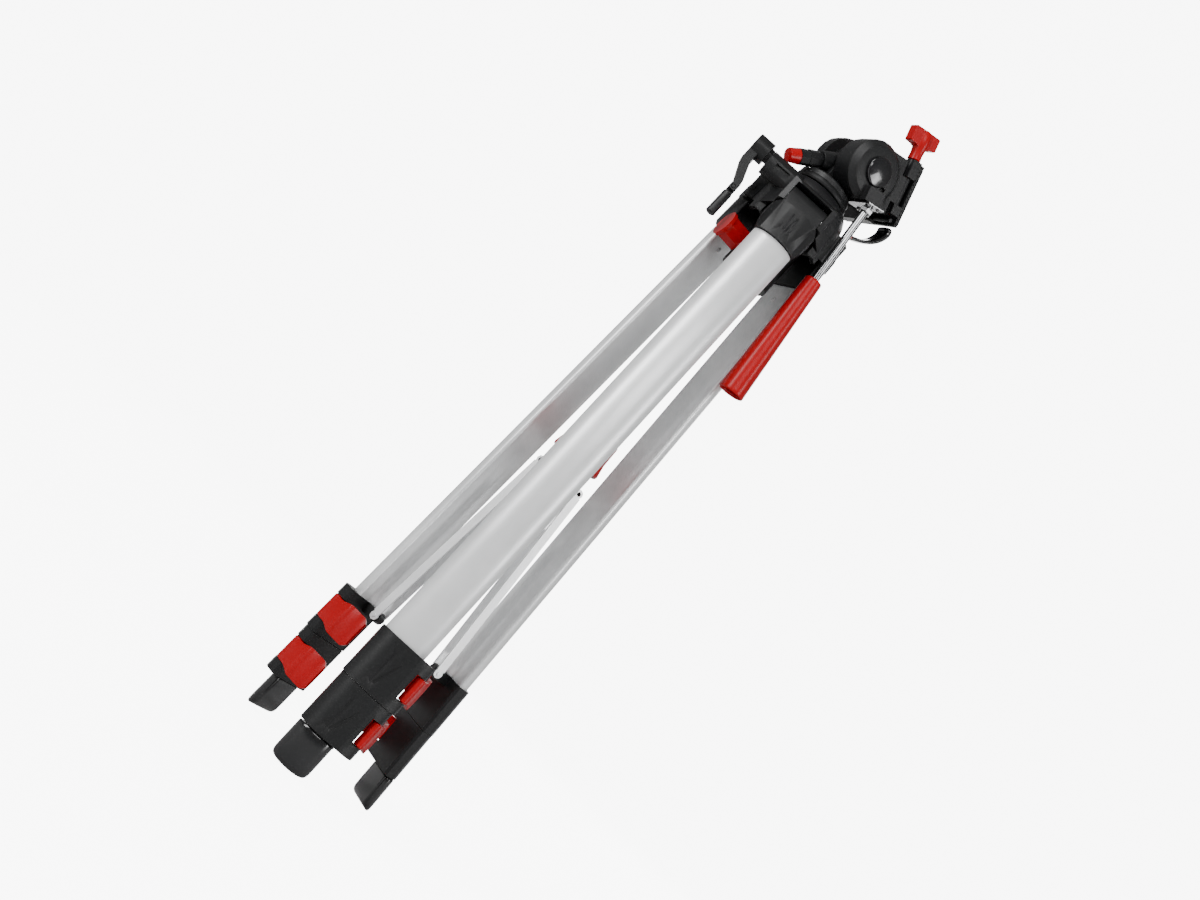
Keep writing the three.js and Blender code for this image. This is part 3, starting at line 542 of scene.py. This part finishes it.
def flip_knob_stem():
    """The knob's flared stem with its domed end, and the bolt that it turns."""
    bm = bmesh.new()
    loft(bm, turned(FLIP_LINE, FLIP_POINT, KNOB_STEM, steps=48))
    loft(bm, turned(FLIP_LINE, FLIP_POINT, KNOB_BOLT, steps=24))
    add_piece("flip_knob_stem", bm, "flip_lock_knob", TILT_FRAME, sharp=35)


def release_blade():
    """Curved blade: its section is swept down a bow and flares a little at the thumb end."""
    near, far = RELEASE_EDGES
    last = len(RELEASE_LINE) - 1
    rings = []
    for i, (x, z) in enumerate(RELEASE_LINE):
        before = Vector(RELEASE_LINE[max(0, i - 1)])
        after = Vector(RELEASE_LINE[min(last, i + 1)])
        along = (after - before).normalized()
        half = RELEASE_THICK[i] / 2
        grow = RELEASE_FLARE * i / last
        section = [(near - grow, 1), ((near + far) / 2, RELEASE_CROWN), (far + grow, 1),
                   (far + grow, -1), ((near + far) / 2, -RELEASE_HOLLOW), (near - grow, -1)]
        rings.append([(x - along.y * half * k, y, z + along.x * half * k) for y, k in section])
    bm = bmesh.new()
    loft(bm, rings)
    blade = add_piece("release_lever_blade", bm, "release_lever", TILT_FRAME, sharp=40)
    smooth = blade.modifiers.new("smooth", "SUBSURF")
    smooth.levels = 2
    smooth.render_levels = 2
    add_bevel(blade, width=0.3, segments=2, angle=40)


def release_tip():
    """Small red button let into the thumb end of the release lever."""
    bm = bmesh.new()
    loft(bm, [[(x, y, z) for x, z in TIP_OUTLINE] for y in TIP_EDGES])
    tip = add_object("release_lever_tip", bm, "release_lever", "red_plastic", TILT_FRAME, sharp=30)
    add_bevel(tip, width=0.4, segments=3, angle=30)


def strap_rivets():
    """Three bright domed rivets on the handle's bracket strip."""
    bm = bmesh.new()
    for y, z in STRAP_RIVETS:
        loft(bm, turned((1, 0, 0), (STRAP_FACE, y, z), STRAP_DOME, steps=20))
    add_object("handle_strap_rivets", bm, "tilt_head", "steel", TILT_FRAME, sharp=35)


def platform_ribs():
    """Moulded ribs over two lengths of rail on the platform's near side."""
    bm = bmesh.new()
    for x in RIB_STARTS:
        box(bm, (x, x + RIB_WIDTH), (RIB_FACE, PLATFORM_SIDE), RIB_HEIGHTS)
    for run in RAILS:
        box(bm, run, (RAIL_FACE, PLATFORM_SIDE), RAIL_HEIGHTS)
    ribs = add_object("platform_ribs", bm, "platform", "black_plastic", TILT_FRAME, sharp=30)
    add_bevel(ribs, width=0.2, segments=2, angle=30)


def plate_knurl():
    """Finger ribs along the quick plate's near and far edges."""
    bm = bmesh.new()
    for i in range(KNURL_COUNT):
        x = KNURL_START + KNURL_RUN * i / (KNURL_COUNT - 1)
        for edge in KNURL_EDGES:
            box(bm, (x - KNURL_HALF, x + KNURL_HALF), edge, KNURL_HEIGHTS)
    knurl = add_object("plate_knurl", bm, "plate", "black_plastic", TILT_FRAME, sharp=30)
    add_bevel(knurl, width=0.2, segments=2, angle=30)


handle_grip()
handle_rod()
flip_knob_wing()
flip_knob_stem()
release_blade()
release_tip()
strap_rivets()
platform_ribs()
plate_knurl()


# ---------------------------------------------------------------- every other CAD node

REFINED_EDGE = 0.35
REFINED_SHARP = 30
WELD = 0.01
FLAT_ENOUGH = math.radians(1.0)


def refine(node):
    """A finer copy of a CAD node, with its edges rounded as a tool would leave them."""
    bm = bmesh.new()
    bm.from_mesh(frame["nodes"][node].data)
    bmesh.ops.scale(bm, vec=(1 / MM, 1 / MM, 1 / MM), verts=bm.verts)
    bmesh.ops.remove_doubles(bm, verts=bm.verts, dist=WELD)
    bmesh.ops.dissolve_limit(bm, angle_limit=FLAT_ENOUGH, verts=bm.verts, edges=bm.edges)
    piece = add_piece(node + "_piece", bm, node, Matrix.Identity(4), sharp=REFINED_SHARP)
    add_bevel(piece, width=REFINED_EDGE, segments=2, angle=REFINED_SHARP)


DONE = set()
for obj in bpy.data.objects:
    DONE.update(obj.get("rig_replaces", []))
for node in sorted(set(frame["nodes"]) - DONE):
    refine(node)


# ---------------------------------------------------------------- camera, light and floor, in metres

CAMERA_PLACE = Vector((0.01518, -0.69553, 0.12081))
CAMERA_FORWARD = Vector((-0.0126, 0.98857, 0.15021)).normalized()
CAMERA_RIGHT = Vector((0.99992, 0.01275, 0)).normalized()
CAMERA_ROLL = math.radians(42.498)
CAMERA_LENS = 38.66
CAMERA_SENSOR = 36
CAMERA_NEAR = 0.01

AIM = (0, 0, 0.25)
SKY = 0.3
FLOOR = -0.0005
STAGE_REACH = 2.2
STAGE_BEND = 1.1
STAGE_HEIGHT = 5.0
STAGE_SIDES = 96
STAGE_BEND_STEPS = 16
STAGE_GREY = 0.55
STAGE_ROUGHNESS = 0.95
STAGE_SPECULAR = 0.1
STAGE_GLOW = 8.0
STAGE_SPILL = 0.10


def soft_box(name, place, size, power):
    data = bpy.data.lights.new(name, "AREA")
    data.shape = "RECTANGLE"
    data.size, data.size_y = size
    data.energy = power
    light = bpy.data.objects.new(name, data)
    light.location = place
    light.rotation_euler = (Vector(AIM) - Vector(place)).to_track_quat("-Z", "Y").to_euler()
    bpy.context.scene.collection.objects.link(light)


def make_camera():
    data = bpy.data.cameras.new("camera")
    data.sensor_width = CAMERA_SENSOR
    data.lens = CAMERA_LENS
    data.clip_start = CAMERA_NEAR
    camera = bpy.data.objects.new("camera", data)
    up = CAMERA_RIGHT.cross(CAMERA_FORWARD).normalized()
    x = CAMERA_RIGHT * math.cos(CAMERA_ROLL) + up * math.sin(CAMERA_ROLL)
    y = -CAMERA_RIGHT * math.sin(CAMERA_ROLL) + up * math.cos(CAMERA_ROLL)
    camera.matrix_world = basis(CAMERA_PLACE, x, y, -CAMERA_FORWARD)
    bpy.context.scene.collection.objects.link(camera)
    bpy.context.scene.camera = camera


def stage_material():
    """Pale matte surface that shows nearly white and gives the object only a little of its light."""
    mat, tree, shader = new_material("stage")
    shader.inputs["Base Color"].default_value = (STAGE_GREY, STAGE_GREY, STAGE_GREY, 1)
    shader.inputs["Roughness"].default_value = STAGE_ROUGHNESS
    shader.inputs["Specular IOR Level"].default_value = STAGE_SPECULAR
    shader.inputs["Emission Color"].default_value = (1, 1, 1, 1)
    path = tree.nodes.new("ShaderNodeLightPath")
    glow = value_range(tree, path, "Is Camera Ray", STAGE_SPILL, STAGE_GLOW)
    tree.links.new(glow.outputs["Result"], shader.inputs["Emission Strength"])
    return mat


def make_stage():
    """Round sweep: a floor under the feet that curves up into a backdrop on every side."""
    profile = [(STAGE_REACH, 0.0)]
    for i in range(1, STAGE_BEND_STEPS + 1):
        a = 0.5 * math.pi * i / STAGE_BEND_STEPS
        profile.append((STAGE_REACH + STAGE_BEND * math.sin(a), STAGE_BEND * (1 - math.cos(a))))
    profile.append((STAGE_REACH + STAGE_BEND, STAGE_HEIGHT))
    bm = bmesh.new()
    centre = bm.verts.new((0, 0, FLOOR))
    outline = turned((0, 0, 1), (0, 0, FLOOR), profile, STAGE_SIDES)
    rings = [[bm.verts.new(p) for p in ring] for ring in outline]
    for i in range(STAGE_SIDES):
        bm.faces.new((centre, rings[0][i], rings[0][(i + 1) % STAGE_SIDES]))
    for a, b in zip(rings, rings[1:]):
        for i in range(STAGE_SIDES):
            bm.faces.new((a[i], b[i], b[(i + 1) % STAGE_SIDES], a[(i + 1) % STAGE_SIDES]))
    mesh = bpy.data.meshes.new("stage")
    bm.to_mesh(mesh)
    bm.free()
    mesh.shade_smooth()
    mesh.materials.append(stage_material())
    stage = bpy.data.objects.new("stage", mesh)
    bpy.context.scene.collection.objects.link(stage)


def make_world():
    world = bpy.data.worlds.new("studio")
    world.use_nodes = True
    sky = world.node_tree.nodes["Background"]
    sky.inputs["Color"].default_value = (1, 1, 1, 1)
    sky.inputs["Strength"].default_value = SKY
    bpy.context.scene.world = world


make_world()
make_stage()
soft_box("key", place=(-1.0, -1.0, 0.9), size=(0.35, 1.5), power=26)
soft_box("fill", place=(1.3, -0.7, 0.3), size=(0.25, 1.5), power=16)
soft_box("front", place=(0.15, -1.6, 1.0), size=(0.9, 0.3), power=9)
soft_box("rim", place=(0.3, 1.2, 0.9), size=(1.0, 1.0), power=12)
make_camera()
